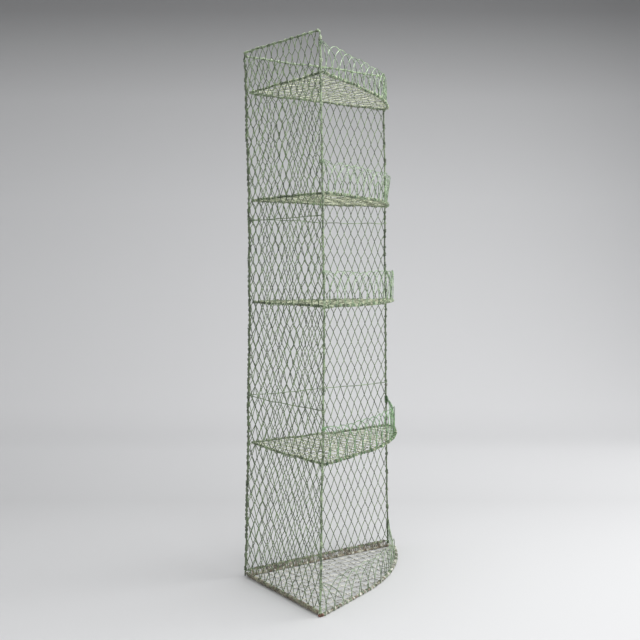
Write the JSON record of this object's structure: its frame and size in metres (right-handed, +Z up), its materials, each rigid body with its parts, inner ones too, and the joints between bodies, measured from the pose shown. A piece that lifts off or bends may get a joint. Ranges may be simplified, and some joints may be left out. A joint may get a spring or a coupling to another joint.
{
  "type": "wirework corner plant stand",
  "caption": "Tall free-standing corner stand of painted wirework: two lattice panels hold bow-fronted mesh shelves with hoop galleries.",
  "frame": {"origin": "foot of the spine post on the floor, at the stand's square back corner", "axes": "+Z up; +X along the back panel, away from the spine post; -Y along the side panel, so the shelves bow towards +X and -Y"},
  "size_m": [0.643, 0.4674, 1.8158],
  "materials": {
    "frame_rod": "worn brushed paint over rod",
    "rim_rod": "worn paint with rust showing",
    "rusty_rod": "worn paint, mostly rust",
    "lattice_wire": "worn satin paint",
    "mesh_wire": "worn satin paint, rust in the crossings",
    "hoop_wire": "worn satin paint",
    "tie_wire": "worn satin paint"
  },
  "bodies": {
    "root": {"back_bottom_rail": "frame_rod", "back_bottom_rail_ties": "tie_wire", "back_lattice_falling": "lattice_wire", "back_lattice_rising": "lattice_wire", "back_lower_stay": "frame_rod", "back_post": "frame_rod", "back_post_ties": "tie_wire", "back_top_rail": "frame_rod", "back_top_rail_ties": "tie_wire", "back_upper_stay": "frame_rod", "base_shelf_cross_wires": "mesh_wire", "base_shelf_depth_wires": "mesh_wire", "base_shelf_hoops": "hoop_wire", "base_shelf_rim": "rusty_rod", "fourth_shelf_cross_wires": "mesh_wire", "fourth_shelf_depth_wires": "mesh_wire", "fourth_shelf_hoops": "hoop_wire", "fourth_shelf_rim": "rim_rod", "second_shelf_cross_wires": "mesh_wire", "second_shelf_depth_wires": "mesh_wire", "second_shelf_hoops": "hoop_wire", "second_shelf_rim": "rim_rod", "side_bottom_rail": "rusty_rod", "side_bottom_rail_ties": "tie_wire", "side_lattice_falling": "lattice_wire", "side_lattice_rising": "lattice_wire", "side_lower_stay": "frame_rod", "side_post": "frame_rod", "side_post_ties": "tie_wire", "side_top_rail": "frame_rod", "side_top_rail_ties": "tie_wire", "side_upper_stay": "frame_rod", "spine_post": "frame_rod", "spine_post_ties": "tie_wire", "third_shelf_cross_wires": "mesh_wire", "third_shelf_depth_wires": "mesh_wire", "third_shelf_hoops": "hoop_wire", "third_shelf_rim": "rim_rod", "top_shelf_cross_wires": "mesh_wire", "top_shelf_depth_wires": "mesh_wire", "top_shelf_hoops": "hoop_wire", "top_shelf_rim": "rim_rod"}
  },
  "joints": []
}
